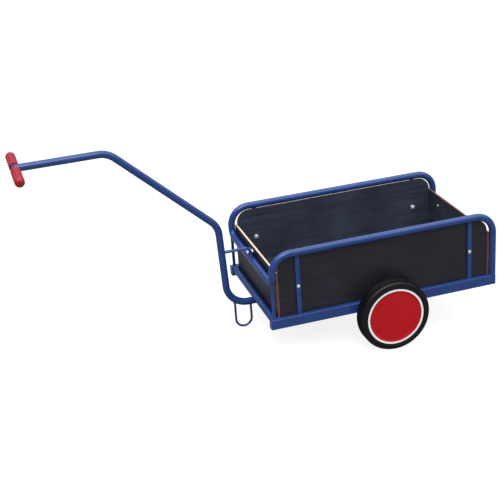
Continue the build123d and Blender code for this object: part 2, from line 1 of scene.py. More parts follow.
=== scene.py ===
# %% [markdown]
# # A tubular steel hand cart with a plywood box
#
# The cart was welded from blue powder-coated tube and flat bar. A box of film-faced plywood is bolted
# into it, it runs on two solid rubber tyres, and a drawbar with a T-shaped handle pulls it. The packed
# model already holds every tube, board and bolt at its real size, so this lesson adds what an engineer's
# model leaves out: the finishes, the weld seams, the tread, the plies in the boards' edges.
#
# First comes the frame. Its nodes stay where they are, and everything else is measured from them.

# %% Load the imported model
import json
import math

import bmesh
import bpy
from mathutils import Matrix, Vector


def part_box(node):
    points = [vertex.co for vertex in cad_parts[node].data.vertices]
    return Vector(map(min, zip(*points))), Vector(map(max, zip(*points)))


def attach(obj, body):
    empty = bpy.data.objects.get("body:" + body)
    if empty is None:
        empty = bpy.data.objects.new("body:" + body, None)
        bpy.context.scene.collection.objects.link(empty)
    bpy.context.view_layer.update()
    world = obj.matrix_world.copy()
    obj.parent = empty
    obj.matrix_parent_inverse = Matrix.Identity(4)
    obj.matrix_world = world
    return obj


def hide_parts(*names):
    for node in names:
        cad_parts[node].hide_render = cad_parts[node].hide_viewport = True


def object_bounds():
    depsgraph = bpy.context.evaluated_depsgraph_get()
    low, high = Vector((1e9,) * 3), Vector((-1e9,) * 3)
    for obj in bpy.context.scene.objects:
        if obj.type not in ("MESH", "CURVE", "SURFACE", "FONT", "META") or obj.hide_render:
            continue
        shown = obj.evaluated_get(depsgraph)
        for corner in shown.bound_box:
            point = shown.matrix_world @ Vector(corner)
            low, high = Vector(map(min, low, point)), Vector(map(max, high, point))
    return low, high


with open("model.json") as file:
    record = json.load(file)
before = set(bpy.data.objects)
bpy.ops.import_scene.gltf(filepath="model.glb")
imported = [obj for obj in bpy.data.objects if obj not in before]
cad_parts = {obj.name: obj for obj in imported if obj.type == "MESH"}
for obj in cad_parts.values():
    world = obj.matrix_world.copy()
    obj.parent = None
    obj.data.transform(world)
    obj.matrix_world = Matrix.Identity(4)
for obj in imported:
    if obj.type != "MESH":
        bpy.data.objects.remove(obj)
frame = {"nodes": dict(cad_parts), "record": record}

cad_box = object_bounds()
nodes = frame["nodes"]
corners = [tuple(round(v, 3) for v in corner) for corner in cad_box]
print(f"{len(nodes)} CAD nodes, box {corners}")

# %% [markdown]
# The cart is parked leaning forward on its stand. Drawing a new piece on a slope is awkward, so every
# added piece is drawn on a level cart, in millimetres, and one matrix then parks it. The slope is the
# direction that the load floor faces, and the turn is about the axle, whose place the model gives.

# %% From the level cart to the parked one
MM = 0.001
floor_faces = Vector(frame["record"]["mounts"][0]["axis"])
LEAN = math.atan2(-floor_faces.x, floor_faces.z)
axle_low, axle_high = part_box("axle")
AXLE_X, WHEEL_R = 406.0, 125.0  # the axle on the level cart, in millimetres
axle_centre = (axle_low + axle_high) / 2
PARK = (
    Matrix.Translation(axle_centre)
    @ Matrix.Rotation(-LEAN, 4, "Y")
    @ Matrix.Scale(MM, 4)
    @ Matrix.Translation((-AXLE_X, 0, -WHEEL_R))
)
LEVEL = PARK.inverted()
print(f"the cart leans {math.degrees(LEAN):.2f} degrees")

# %% [markdown]
# The camera stands to the front left of the cart, a little above the handle, with a long lens that
# keeps the far hoop almost as tall as the near one.

# %% Camera
EYE = axle_centre + Vector((-1.52795, -3.44268, 1.63474))
AHEAD = Vector((0.28207, 0.88240, -0.37658))
RIGHT = Vector((0.95518, -0.29504, 0.02413))
UP = Vector((0.08981, 0.36651, 0.92607))
camera = bpy.data.objects.new("camera", bpy.data.cameras.new("camera"))
bpy.context.scene.collection.objects.link(camera)
turn = Matrix((RIGHT, UP, -AHEAD)).transposed().to_4x4()
camera.matrix_world = Matrix.Translation(EYE) @ turn
camera.data.sensor_width = 36.0
camera.data.lens = 81.39
camera.data.clip_end = 200.0
bpy.context.scene.camera = camera
print(f"camera {EYE.length:.2f} m from the cart, {camera.data.lens} mm lens")

# %% [markdown]
# A white floor and a softly lit room. Dark boards and saturated paint only look right when the room puts
# little white into their reflections, so the room is dim at the sides and bright overhead, like a studio
# with one broad ceiling light. Rays that go straight to the camera see the room and the floor pale; the
# light that they bounce onto the cart is dimmer, which keeps the undersides of the tubes dark.

# %% Floor and lamp
LAMP_AIM = Vector((0.25, 0.50, -0.83))  # down, towards the cart's rear right
FLOOR_HALF = 30  # metres from the floor's middle to its edge
scene = bpy.context.scene
scene.view_settings.view_transform = "Standard"
scene.view_settings.look = "None"
world = bpy.data.worlds.new("studio")
scene.world = world
world.use_nodes = True
lamp = bpy.data.lights.new("softbox", "SUN")
lamp.energy = 1.5
lamp.angle = math.radians(40)
softbox = bpy.data.objects.new("softbox", lamp)
softbox.rotation_euler = LAMP_AIM.to_track_quat("-Z", "Y").to_euler()
scene.collection.objects.link(softbox)

bm = bmesh.new()
bmesh.ops.create_grid(bm, x_segments=1, y_segments=1, size=FLOOR_HALF)
floor_mesh = bpy.data.meshes.new("floor")
bm.to_mesh(floor_mesh)
bm.free()
floor = bpy.data.objects.new("floor", floor_mesh)
scene.collection.objects.link(floor)
print("floor and one soft lamp")

# %% [markdown]
# ## Finishes
#
# A few helpers serve every finish. One turns the hex colour off a paint chart into the linear colour that
# a shader works in, one adds a node with its settings and its links in one line, and the others start a
# finish, mix two colours and put a relief on the surface.

# %% Helpers for node trees
def linear(code):
    """An sRGB hex colour as linear RGBA."""
    channels = [int(code[i:i + 2], 16) / 255 for i in (1, 3, 5)]
    return [c / 12.92 if c <= 0.04045 else ((c + 0.055) / 1.055) ** 2.4 for c in channels] + [1.0]


def add(tree, kind, inputs=None, **settings):
    """A node of that kind.

    Inputs maps a socket's name or number to a value, or to a socket to link from.
    """
    node = tree.nodes.new(kind)
    for name, value in settings.items():
        setattr(node, name, value)
    for key, value in (inputs or {}).items():
        if isinstance(value, bpy.types.NodeSocket):
            tree.links.new(value, node.inputs[key])
        else:
            node.inputs[key].default_value = value
    return node


def new_finish(name, specular, **constants):
    """A material with one Principled shader, its tree, and the piece's own coordinates."""
    material = bpy.data.materials.new(name)
    material.use_nodes = True
    tree = material.node_tree
    tree.nodes.clear()
    constants["Specular IOR Level"] = specular
    shader = add(tree, "ShaderNodeBsdfPrincipled", constants)
    add(tree, "ShaderNodeOutputMaterial", {"Surface": shader.outputs[0]})
    place = add(tree, "ShaderNodeTexCoord").outputs["Object"]
    return material, tree, shader, place


def two_tone(tree, factor, dark, light):
    """A colour between two hex colours."""
    inputs = {0: factor, 6: linear(dark), 7: linear(light)}
    return add(tree, "ShaderNodeMix", inputs, data_type="RGBA").outputs[2]


def add_relief(tree, shader, height, strength, depth):
    """Bump the surface by a height between 0 and 1, which stands for a depth in metres."""
    relief = add(tree, "ShaderNodeBump", {"Strength": strength, "Distance": depth, "Height": height})
    tree.links.new(relief.outputs[0], shader.inputs["Normal"])


print("helpers ready")

# %% The room's light and the floor's paint
SIDE_LIGHT, CEILING_LIGHT = 0.22, 2.15
CEILING_START, CEILING_FULL = 0.25, 0.8  # the height of a direction, where 1 is straight up
FLOOR_GLOW = 0.86  # seen by the camera only
tree = world.node_tree
tree.nodes.clear()
rays = add(tree, "ShaderNodeLightPath").outputs["Is Camera Ray"]
towards = add(tree, "ShaderNodeTexCoord").outputs["Generated"]
height = add(tree, "ShaderNodeSeparateXYZ", {0: towards}).outputs["Z"]
ceiling = add(tree, "ShaderNodeMapRange",
              {"Value": height, "From Min": CEILING_START, "From Max": CEILING_FULL,
               "To Min": SIDE_LIGHT, "To Max": CEILING_LIGHT},
              interpolation_type="SMOOTHSTEP")
room = add(tree, "ShaderNodeBackground",
           {"Color": (0.93, 0.96, 1.0, 1.0), "Strength": ceiling.outputs[0]})
backdrop = add(tree, "ShaderNodeBackground", {"Color": (1.0, 1.0, 1.0, 1.0), "Strength": 1.0})
shown = add(tree, "ShaderNodeMixShader", {0: rays, 1: room.outputs[0], 2: backdrop.outputs[0]})
add(tree, "ShaderNodeOutputWorld", {"Surface": shown.outputs[0]})

material = bpy.data.materials.new("floor_paint")
material.use_nodes = True
tree = material.node_tree
tree.nodes.clear()
rays = add(tree, "ShaderNodeLightPath").outputs["Is Camera Ray"]
bounce = add(tree, "ShaderNodeBsdfDiffuse", {"Color": linear("#7C7C7E")})
white = add(tree, "ShaderNodeBsdfDiffuse", {"Color": linear("#808080")})
glow = add(tree, "ShaderNodeEmission", {"Color": (1.0, 1.0, 1.0, 1.0), "Strength": FLOOR_GLOW})
pale = add(tree, "ShaderNodeAddShader", {0: white.outputs[0], 1: glow.outputs[0]})
shown = add(tree, "ShaderNodeMixShader", {0: rays, 1: bounce.outputs[0], 2: pale.outputs[0]})
add(tree, "ShaderNodeOutputMaterial", {"Surface": shown.outputs[0]})
floor_mesh.materials.append(material)
print("room and floor lit")

# %% [markdown]
# **Powder coat.** The frame was sprayed with dry polyester powder and baked, which gives a tough satin
# skin. Up close it has a faint orange peel, and the colour is thinner where the powder was, so a slow
# noise moves the blue a little. The peel is really about 1 mm across and is drawn at 2.5 mm to show.

# %% Blue powder coat
powder_coat, tree, shader, place = new_finish("blue_powder_coat", 0.5, Roughness=0.25)
cloud = add(tree, "ShaderNodeTexNoise", {"Vector": place, "Scale": 1 / 0.07, "Detail": 3.0})
peel = add(tree, "ShaderNodeTexNoise", {"Vector": place, "Scale": 1 / 0.0025, "Detail": 1.0})
paint = two_tone(tree, cloud.outputs["Fac"], "#19336C", "#234381")
tree.links.new(paint, shader.inputs["Base Color"])
add_relief(tree, shader, peel.outputs["Fac"], 0.25, 0.0002)
print(powder_coat.name)

# %% [markdown]
# ** Film-faced plywood.** Birch veneers, glued crosswise and pressed between two sheets of paper soaked
# in dark phenolic resin. The film is near black with a violet cast, smooth and a little glossy, and the
# grain of the veneer below prints through as faint streaks along the sheet. Object coordinates are turned
# back to the level cart first, so the streaks follow the boards. The faces that look into the box are
# given a lighter, greyer film than the outer faces.

# %% Film face of the boards
def level_place(tree, place, scale):
    """The piece's coordinates with the cart's lean taken out, stretched by a scale along each axis."""
    upright = add(tree, "ShaderNodeMapping", {"Vector": place, "Rotation": (0.0, LEAN, 0.0)})
    return add(tree, "ShaderNodeMapping", {"Vector": upright.outputs[0], "Scale": scale}).outputs[0]


def film_face(name, dark, light):
    """Phenolic film over veneer: faint streaks along the board in colour, gloss and relief."""
    material, tree, shader, place = new_finish(name, 0.38)
    along = level_place(tree, place, (1 / 0.30, 1 / 0.30, 1 / 0.006))
    streaks = add(tree, "ShaderNodeTexNoise", {"Vector": along, "Detail": 4.0, "Scale": 1.0})
    clouds = add(tree, "ShaderNodeTexNoise", {"Vector": place, "Scale": 1 / 0.12})
    both = add(tree, "ShaderNodeMath", {0: streaks.outputs["Fac"], 1: clouds.outputs["Fac"]},
               operation="MULTIPLY")
    tone = add(tree, "ShaderNodeMapRange",
               {"Value": both.outputs[0], "From Min": 0.12, "From Max": 0.42})
    tree.links.new(two_tone(tree, tone.outputs[0], dark, light), shader.inputs["Base Color"])
    dull = add(tree, "ShaderNodeMapRange",
               {"Value": streaks.outputs["Fac"], "From Min": 0.3, "From Max": 0.7,
                "To Min": 0.34, "To Max": 0.47})
    tree.links.new(dull.outputs[0], shader.inputs["Roughness"])
    add_relief(tree, shader, streaks.outputs["Fac"], 0.2, 0.0002)
    return material


film = film_face("phenolic_film_outside", "#19171E", "#27232D")
film_inside = film_face("phenolic_film_inside", "#282D37", "#3C424E")
print(film.name, film_inside.name)

# %% [markdown]
# ** The boards' edges.** A sawn edge shows the plies: five of them in 6.5 mm, by turns pale long grain
# and darker end grain. The same edge comes in two copies that paint light and shade: a cream one on the
# upward faces of the front board's top, a painted highlight, and a brown one on all other edges, painted
# shade that still lets the plies show. Each board carries a UV map with the distance along the edge and
# the depth through the board, both in metres, so one pattern serves every edge.

# %% Ply edges: a cream copy with painted highlight, a brown copy with painted shade
BOARD_T, PLIES = 6.5, 5
PLY = BOARD_T * MM / PLIES
GLUE_SHARE = 0.14  # of a ply's thickness that its dark glue line takes


def ply_edge(name, end_grain, long_grain, glue, roughness):
    """A sawn plywood edge: stripes through the depth, fine grain along it, dark glue lines between."""
    material, tree, shader, _ = new_finish(name, 0.3, Roughness=roughness)
    uv = add(tree, "ShaderNodeUVMap", uv_map="edge").outputs[0]
    depth = add(tree, "ShaderNodeSeparateXYZ", {0: uv}).outputs["Y"]
    count = add(tree, "ShaderNodeMath", {0: depth, 1: 1 / PLY}, operation="MULTIPLY").outputs[0]
    half = add(tree, "ShaderNodeMath", {0: count, 1: 2.0}, operation="MODULO").outputs[0]
    which = add(tree, "ShaderNodeMath", {0: half, 1: 1.0}, operation="GREATER_THAN").outputs[0]
    within = add(tree, "ShaderNodeMath", {0: count, 1: 1.0}, operation="MODULO").outputs[0]
    line = add(tree, "ShaderNodeMath", {0: within, 1: GLUE_SHARE}, operation="LESS_THAN").outputs[0]
    stretch = add(tree, "ShaderNodeMapping", {"Vector": uv, "Scale": (1 / 0.02, 1 / 0.0006, 1.0)})
    grain = add(tree, "ShaderNodeTexNoise",
                {"Vector": stretch.outputs[0], "Scale": 1.0, "Detail": 3.0})
    plies = two_tone(tree, which, long_grain, end_grain)
    shade = add(tree, "ShaderNodeMapRange",
                {"Value": grain.outputs["Fac"], "From Min": 0.3, "From Max": 0.7,
                 "To Min": 0.78, "To Max": 1.1})
    sawn = add(tree, "ShaderNodeVectorMath", {0: plies, "Scale": shade.outputs[0]},
               operation="SCALE")
    mix = add(tree, "ShaderNodeMix", {0: line, 6: sawn.outputs[0], 7: linear(glue)},
              data_type="RGBA")
    tree.links.new(mix.outputs[2], shader.inputs["Base Color"])
    add_relief(tree, shader, grain.outputs["Fac"], 0.5, 0.0003)
    return material


# one ply edge in two copies: cream, a painted highlight, for the front board's top, and brown, painted
# shade, for every other edge
lit_ply_edge = ply_edge("birch_ply_edge_painted_lit", "#CDB08E", "#EAD6BC", "#A57C5A", 0.7)
shaded_ply_edge = ply_edge("ply_edge_painted_shade", "#6B3A2C", "#8A523E", "#3A211B", 0.5)
print(lit_ply_edge.name, shaded_ply_edge.name)

# %% [markdown]
# **Metals, rubber and plastics.** The small finishes are alike in plan: a base from the paint chart, a
# noise as fine as the process leaves, and the roughness that process gives.

# %% Zinc, silver paint, rubber, enamels, grip and nylon
def plain_finish(name, dark, light, roughness, specular, grit_mm, depth_mm, patch_mm=30.0,
                 metallic=0.0):
    """A finish with slow colour changes over patch_mm and a fine relief of grit_mm across."""
    material, tree, shader, place = new_finish(
        name, specular, Roughness=roughness, Metallic=metallic)
    patch = add(tree, "ShaderNodeTexNoise",
                {"Vector": place, "Scale": 1000 / patch_mm, "Detail": 3.0})
    grit = add(tree, "ShaderNodeTexNoise",
               {"Vector": place, "Scale": 1000 / grit_mm, "Detail": 2.0})
    tree.links.new(two_tone(tree, patch.outputs["Fac"], dark, light), shader.inputs["Base Color"])
    add_relief(tree, shader, grit.outputs["Fac"], 0.4, depth_mm * MM)
    return material


zinc = plain_finish("bright_zinc_plate", "#D3D6DA", "#F2F3F4", 0.42, 0.5, 1.2, 0.05, 8.0, 0.8)
silver = plain_finish("silver_stove_enamel", "#8D9094", "#A3A6AA", 0.38, 0.4, 1.5, 0.1)
rubber = plain_finish("moulded_black_rubber", "#050607", "#0C0D10", 0.42, 0.32, 1.6, 0.2)
red_paint = plain_finish("red_enamel_disc", "#B0111A", "#BC1922", 0.42, 0.16, 4.0, 0.05, 60.0)
white_paint = plain_finish("white_enamel_ring", "#F0F0EF", "#FAFAF9", 0.4, 0.3, 3.0, 0.05)
vinyl = plain_finish("red_moulded_vinyl", "#8C0E1D", "#A01729", 0.38, 0.36, 1.8, 0.2, 15.0)
nylon = plain_finish("natural_nylon", "#D8D5CA", "#E4E1D8", 0.5, 0.4, 2.0, 0.1)
finishes = {
    "blue_powder_coat": powder_coat,
    "film_plywood": film,
    "red_plastic": vinyl,
    "tyre_rubber": rubber,
    "red_enamel": red_paint,
    "white_enamel": white_paint,
    "silver_paint": silver,
    "nylon": nylon,
    "zinc_steel": zinc,
}
for part in frame["record"]["subparts"]:
    mesh = nodes[part["node"]].data
    mesh.materials.clear()
    mesh.materials.append(finishes[part["material_slot"]])
print(f"{len(finishes)} finishes on {len(nodes)} nodes")

# %% [markdown]
# ## Boards
#
# A CAD board is a sharp block. A real one has its arrises eased so that the film doesn't chip, and its
# edges differ from its faces. Each board is a copy of its node, with the loose triangles merged, the
# arrises bevelled by 0.6 mm, and the edge faces given the edge finishes and their UV map.

# %% Turn a drawing on the level cart into a finished piece
def finished_piece(bm, name, body, materials, smooth=35):
    """Park a level drawing and make it a piece that rides on a body."""
    bm.transform(PARK)
    mesh = bpy.data.meshes.new(name)
    bm.to_mesh(mesh)
    bm.free()
    for material in materials:
        mesh.materials.append(material)
    mesh.shade_smooth()
    mesh.set_sharp_from_angle(angle=math.radians(smooth))
    piece = bpy.data.objects.new(name, mesh)
    scene.collection.objects.link(piece)
    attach(piece, body)
    return piece


def linked(bm, name):
    """A scene object from a bmesh, which is freed."""
    mesh = bpy.data.meshes.new(name)
    bm.to_mesh(mesh)
    bm.free()
    thing = bpy.data.objects.new(name, mesh)
    scene.collection.objects.link(thing)
    return thing


def level_copy(node):
    """A merged copy of a CAD node's mesh, on the level cart in millimetres."""
    bm = bmesh.new()
    bm.from_mesh(nodes[node].data)
    bmesh.ops.remove_doubles(bm, verts=bm.verts, dist=0.00001)
    bm.transform(LEVEL)
    bmesh.ops.dissolve_limit(bm, angle_limit=math.radians(1), verts=bm.verts, edges=bm.edges)
    return bm


print("pieces can be drawn level")

# %% Boards with eased arrises and plies in their edges
ARRIS = 0.6
LIT_EDGE, SHADED_EDGE, INNER = 1, 2, 3  # a board's materials after the outside film, which is 0


def board(node, through, inward, painted_lit_top):
    """A plywood board whose thickness runs along through, with its inner face that way or against it."""
    axis = Vector(through)
    bm = level_copy(node)
    sharp = math.radians(60)
    rims = [e for e in bm.edges if len(e.link_faces) == 2 and e.calc_face_angle(0) > sharp]
    bmesh.ops.bevel(bm, geom=rims, offset=ARRIS, segments=2, profile=0.5, affect="EDGES",
                    clamp_overlap=True)
    bm.normal_update()
    near = min(v.co.dot(axis) for v in bm.verts)
    edge_uv = bm.loops.layers.uv.new("edge")
    for face in bm.faces:
        normal = face.normal
        if abs(normal.dot(axis)) < 0.8:
            # upward edge faces of the front board's top take the cream ply edge, a painted highlight; all
            # other edge faces take the brown one, painted shade
            face.material_index = LIT_EDGE if painted_lit_top and normal.z > 0.6 else SHADED_EDGE
        elif inward * normal.dot(axis) > 0:
            face.material_index = INNER
        for loop in face.loops:
            place = loop.vert.co
            run = place.x + place.z if abs(axis.x) < 0.5 else place.y + place.z
            loop[edge_uv].uv = (run * MM, (place.dot(axis) - near) * MM)
    surfaces = [film, lit_ply_edge, shaded_ply_edge, film_inside]
    piece = finished_piece(bm, node + "_plywood", "cart", surfaces, smooth=15)
    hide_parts(node)


board("left_side_board", (0, 1, 0), 1, painted_lit_top=False)
board("right_side_board", (0, 1, 0), -1, painted_lit_top=False)
board("front_board", (1, 0, 0), 1, painted_lit_top=True)
board("rear_board", (1, 0, 0), -1, painted_lit_top=False)
board("floor_board", (0, 0, 1), 1, painted_lit_top=False)
print("five boards")

# %% [markdown]
# ## Things that repeat
#
# Weld ripples, tread blocks, grip ridges, bolts and screws are each one small shape, many times over.
# Geometry Nodes make them: a tree with named inputs says the rule, and the script feeds it the places.
# Each result is turned into a plain mesh, so nothing stays live.

# %% Helpers for Geometry Nodes
def new_tree(name, inputs):
    """A Geometry Nodes tree with geometry in and out and the inputs given, name: (kind, value)."""
    tree = bpy.data.node_groups.new(name, "GeometryNodeTree")
    tree.interface.new_socket("Geometry", in_out="INPUT", socket_type="NodeSocketGeometry")
    for label, (kind, value) in inputs.items():
        socket = tree.interface.new_socket(label, in_out="INPUT", socket_type="NodeSocket" + kind)
        if value is not None:
            socket.default_value = value
    tree.interface.new_socket("Geometry", in_out="OUTPUT", socket_type="NodeSocketGeometry")
    return tree, tree.nodes.new("NodeGroupInput").outputs


def close_tree(tree, geometry, material):
    """End a tree the way the export needs: instances made real and the material set."""
    real = add(tree, "GeometryNodeRealizeInstances", {0: geometry})
    coated = add(tree, "GeometryNodeSetMaterial", {"Geometry": real.outputs[0], "Material": material})
    add(tree, "NodeGroupOutput", {0: coated.outputs[0]})


def feed(source, tree, **values):
    """Put a tree on an object and set its named inputs."""
    modifier = source.modifiers.new(tree.name, "NODES")
    modifier.node_group = tree
    for item in tree.interface.items_tree:
        if item.in_out == "INPUT" and item.name in values:
            modifier[item.identifier] = values[item.name]


def made_from(source):
    """What an object's modifiers make of it, as a bmesh."""
    graph = bpy.context.evaluated_depsgraph_get()
    mesh = bpy.data.meshes.new_from_object(source.evaluated_get(graph), depsgraph=graph)
    bm = bmesh.new()
    bm.from_mesh(mesh)
    bpy.data.meshes.remove(mesh)
    return bm


def grow(source, tree, name, slot, material, **values):
    """Run a tree on a level source, and keep what it makes as a plain mesh on the cart."""
    feed(source, tree, Material=material, **values)
    bm = made_from(source)
    bpy.data.objects.remove(source)
    bmesh.ops.remove_doubles(bm, verts=bm.verts, dist=0.001)
    piece = finished_piece(bm, name, "cart", [material])
    print(f"{name}: {len(piece.data.polygons)} faces")
    return piece


print("tree helpers ready")

# %% [markdown]
# **Weld seams.** Every joint was closed by hand with an arc welder, which leaves a rippled bead where
# one bar meets the next, and the powder coat covers it. Each seam is a line drawn where the two surfaces
# meet. The tree resamples it finely and makes a tube along it whose radius rises and falls once for each
# ripple, with a little noise because the hand isn't a machine.

# %% The weld bead tree
GRAIN = 0.65  # millimetres between the points of a bead
weld_tree, sockets = new_tree("weld_bead", {
    "Bead radius": ("Float", 1.8),
    "Ripple length": ("Float", 2.6),
    "Ripple depth": ("Float", 0.16),
    "Seed": ("Float", 3.0),
    "Material": ("Material", None),
})
fine = add(weld_tree, "GeometryNodeResampleCurve",
           {"Curve": sockets["Geometry"], "Length": GRAIN}, mode="LENGTH")
along = add(weld_tree, "GeometryNodeSplineParameter").outputs["Length"]
turns = add(weld_tree, "ShaderNodeMath", {0: along, 1: sockets["Ripple length"]}, operation="DIVIDE")
angle = add(weld_tree, "ShaderNodeMath", {0: turns.outputs[0], 1: math.tau}, operation="MULTIPLY")
wave = add(weld_tree, "ShaderNodeMath", {0: angle.outputs[0]}, operation="SINE")
ripple = add(weld_tree, "ShaderNodeMath", {0: wave.outputs[0], 1: sockets["Ripple depth"]},
             operation="MULTIPLY")
shake = add(weld_tree, "ShaderNodeTexNoise", {"W": sockets["Seed"], "Scale": 0.12},
            noise_dimensions="4D")
wobble = add(weld_tree, "ShaderNodeMapRange",
             {"Value": shake.outputs[0], "To Min": 0.75, "To Max": 1.25})
swell = add(weld_tree, "ShaderNodeMath", {0: ripple.outputs[0], 1: wobble.outputs[0]})
radius = add(weld_tree, "ShaderNodeMath", {0: swell.outputs[0], 1: sockets["Bead radius"]},
             operation="MULTIPLY")
section = add(weld_tree, "GeometryNodeCurvePrimitiveCircle", {"Resolution": 8, "Radius": 1.0})
bead = add(weld_tree, "GeometryNodeCurveToMesh",
           {"Curve": fine.outputs[0], "Profile Curve": section.outputs[0],
            "Scale": radius.outputs[0]})
close_tree(weld_tree, bead.outputs[0], sockets["Material"])
print("weld bead tree")

# %% Where the seams run
TUBE_R, TRACK = 12.5, 235.0  # the tubes, and a hoop's distance from the middle of the cart
RAIL_BOTTOM, RAIL_TOP, RAIL_SIDE = 140.0, 176.0, 222.5  # the side rails and their inner faces
BED_REAR, CAP_START = 800.0, 806.0  # the hoops' rear legs, and the caps that close the rails
HOOP_TOP, CROSS_Z = 400.7, 298.0  # axes of the hoops' tops and of the upper cross tubes
BOTTOM_Z, FOOT_Z = 163.5, 140.5  # axes of the bottom tubes and of the drawbar's foot
TURN_R = 30.0  # of the turns from the hoops' front legs in to the cross tube
BAR_W, BAR_T, FRONT_LEG_W, LEG_X = 15.0, 6.0, 10.0, -2.5
UPRIGHTS, BEARERS, BEARER_W = (88, 712), (60, AXLE_X, 740), 25
BRACKET_L, BRACKET_T = 56, 8  # the axle brackets
CROSS_END = 200  # where the hoops' turned-in legs meet the front cross tube
SADDLE_MIN = 3.2  # how far the seam of the rear cross tube stays off a hoop's middle
ANGLES = [i * math.tau / 48 for i in range(48)]
seams = []


def ring(centre, radius, across):
    """A circle about the Y or the Z axis."""
    x, y, z = centre
    circle = [(radius * math.cos(t), radius * math.sin(t)) for t in ANGLES]
    if across == "y":
        return [(x + p, y, z + q) for p, q in circle]
    return [(x + p, y + q, z) for p, q in circle]


def leg(long, short):
    """The third side of a right triangle, which is how far a round surface stands off its axis."""
    return math.sqrt(max(long * long - short * short, 0.0))


def frame_of(width, depth):
    """Points around a rectangle, as pairs from its middle, a few along each side."""
    a, b = width / 2, depth / 2
    shares = [i / 6 for i in range(6)]
    return (
        [(a * (2 * s - 1), -b) for s in shares] + [(a, b * (2 * s - 1)) for s in shares]
        + [(a * (1 - 2 * s), b) for s in shares] + [(-a, b * (1 - 2 * s)) for s in shares]
    )


for side in (-1, 1):
    hoop_y = side * TRACK
    seams.append(ring((0, side * CROSS_END, CROSS_Z), TUBE_R, "y"))
    seams.append(ring((0, side * RAIL_SIDE, BOTTOM_Z), TUBE_R, "y"))
    hoop_foot = ring((BED_REAR, hoop_y, RAIL_TOP), TUBE_R, "z")
    tube_end = ring((BED_REAR, side * RAIL_SIDE, BOTTOM_Z), TUBE_R, "y")
    for circle in (hoop_foot, tube_end):  # no bead where these tubes overhang the rail's end
        seams.append([(min(x, CAP_START), y, z) for x, y, z in circle])
    for x in BEARERS:
        seams.append([(x + p, side * RAIL_SIDE, BOTTOM_Z + q)
                      for p, q in frame_of(BEARER_W, BEARER_W)])
    front_leg = frame_of(FRONT_LEG_W, BAR_T)
    seams.append([(LEG_X + p, hoop_y + q, RAIL_TOP) for p, q in front_leg])
    seams.append([(LEG_X + p, side * (TRACK + q), CROSS_Z + TURN_R - leg(TURN_R + TUBE_R, TURN_R + q))
                  for p, q in front_leg])
    for x in UPRIGHTS:
        upright = [(x + p, q) for p, q in frame_of(BAR_W, BAR_T)]
        seams.append([(p, hoop_y + q, RAIL_TOP) for p, q in upright])
        seams.append([(p, hoop_y + q, HOOP_TOP - leg(TUBE_R, q)) for p, q in upright])
    saddle = [(TUBE_R * math.cos(t), TUBE_R * math.sin(t)) for t in ANGLES]
    seams.append([(BED_REAR + p, side * (TRACK - max(abs(q), SADDLE_MIN)), CROSS_Z + q)
                  for p, q in saddle])
    seams.append([(AXLE_X + p, hoop_y + q, RAIL_BOTTOM) for p, q in frame_of(BRACKET_L, BRACKET_T)])
print(f"{len(seams)} seams on the sides")

# %% The seams of the drawbar, handle, strut and stand
T_X, T_Z, T_R, T_DROP = -745.5, 759.0, 11.0, 3.0  # the T-bar, and its drop below the drawbar's axis
STRUT_X, STRUT_Z, STRUT_T = -104.4, 342, 5  # where the strut meets the drawbar, and its thickness
LUG_X, LUG_T, LUG_W = -2.5, 5, 28  # the lug on the front cross tube
COPE_R = 6.8  # half the width of the seam around the coped foot
ROD_R, ROD_REAR_X, ROD_FRONT_X = 4, -15.5, -72.5  # the stand's rod and its two ends
BEND_X, BEND_Z, BEND_R = -23.1, 217.1, 88.5  # the underside of the drawbar's foot bend
front = [math.radians(a) for a in range(-85, 86, 10)]
half = [(T_X + T_R * math.cos(a), -leg(TUBE_R, T_R * math.sin(a) - T_DROP), T_Z + T_R * math.sin(a))
        for a in front]
seams.append(half + [(x, -y, z) for x, y, z in reversed(half)])
cope = [(COPE_R * math.cos(t), COPE_R * math.sin(t)) for t in ANGLES]
seams.append([(p, q, FOOT_Z + leg(TUBE_R, q)) for p, q in cope])
seams.append([(STRUT_X + leg(TUBE_R, p), p, STRUT_Z + q) for p, q in frame_of(BAR_W, STRUT_T)])
seams.append([(LUG_X + p, q, CROSS_Z + leg(TUBE_R, LUG_X + p)) for p, q in frame_of(LUG_T, LUG_W)])
rod = [(ROD_R * math.cos(t), ROD_R * math.sin(t)) for t in ANGLES]
seams.append([(ROD_REAR_X + p, q, FOOT_Z - leg(TUBE_R, q)) for p, q in rod])
seams.append([(ROD_FRONT_X + p, q, BEND_Z - leg(BEND_R, BEND_X - ROD_FRONT_X - p)) for p, q in rod])
lines = bpy.data.curves.new("seams", "CURVE")
lines.dimensions = "3D"
for seam in seams:
    spline = lines.splines.new("POLY")
    spline.points.add(len(seam) - 1)
    for point, place in zip(spline.points, seam):
        point.co = (*place, 1.0)
    spline.use_cyclic_u = True
seam_lines = bpy.data.objects.new("seams", lines)
scene.collection.objects.link(seam_lines)
grow(seam_lines, weld_tree, "weld_seams", "blue_powder_coat", powder_coat)

# %% [markdown]
# **A lathe.** Turned shapes, such as bolt heads, grips and tyres, are a profile swung about an axis. The
# helper makes closed rings, with one point where the profile meets the axis, so there is no seam and no
# open pole.

# %% The lathe
def lathe(bm, profile, steps, closed=False):
    """Revolve (radius, height) points about Z. A closed profile ends where it starts."""
    angles = [i * math.tau / steps for i in range(steps)]
    rings = []
    for radius, height in profile:
        if radius == 0:
            rings.append([bm.verts.new((0, 0, height))])
        else:
            rings.append([bm.verts.new((radius * math.cos(t), radius * math.sin(t), height))
                          for t in angles])
    for lower, upper in zip(rings, rings[1:] + rings[:1] if closed else rings[1:]):
        for i in range(steps):
            j = (i + 1) % steps
            corners = []
            for ring_of, k in ((lower, i), (lower, j), (upper, j), (upper, i)):
                vert = ring_of[k % len(ring_of)]
                if vert not in corners:
                    corners.append(vert)
            if len(corners) > 2:
                bm.faces.new(corners)
    bmesh.ops.recalc_face_normals(bm, faces=bm.faces)


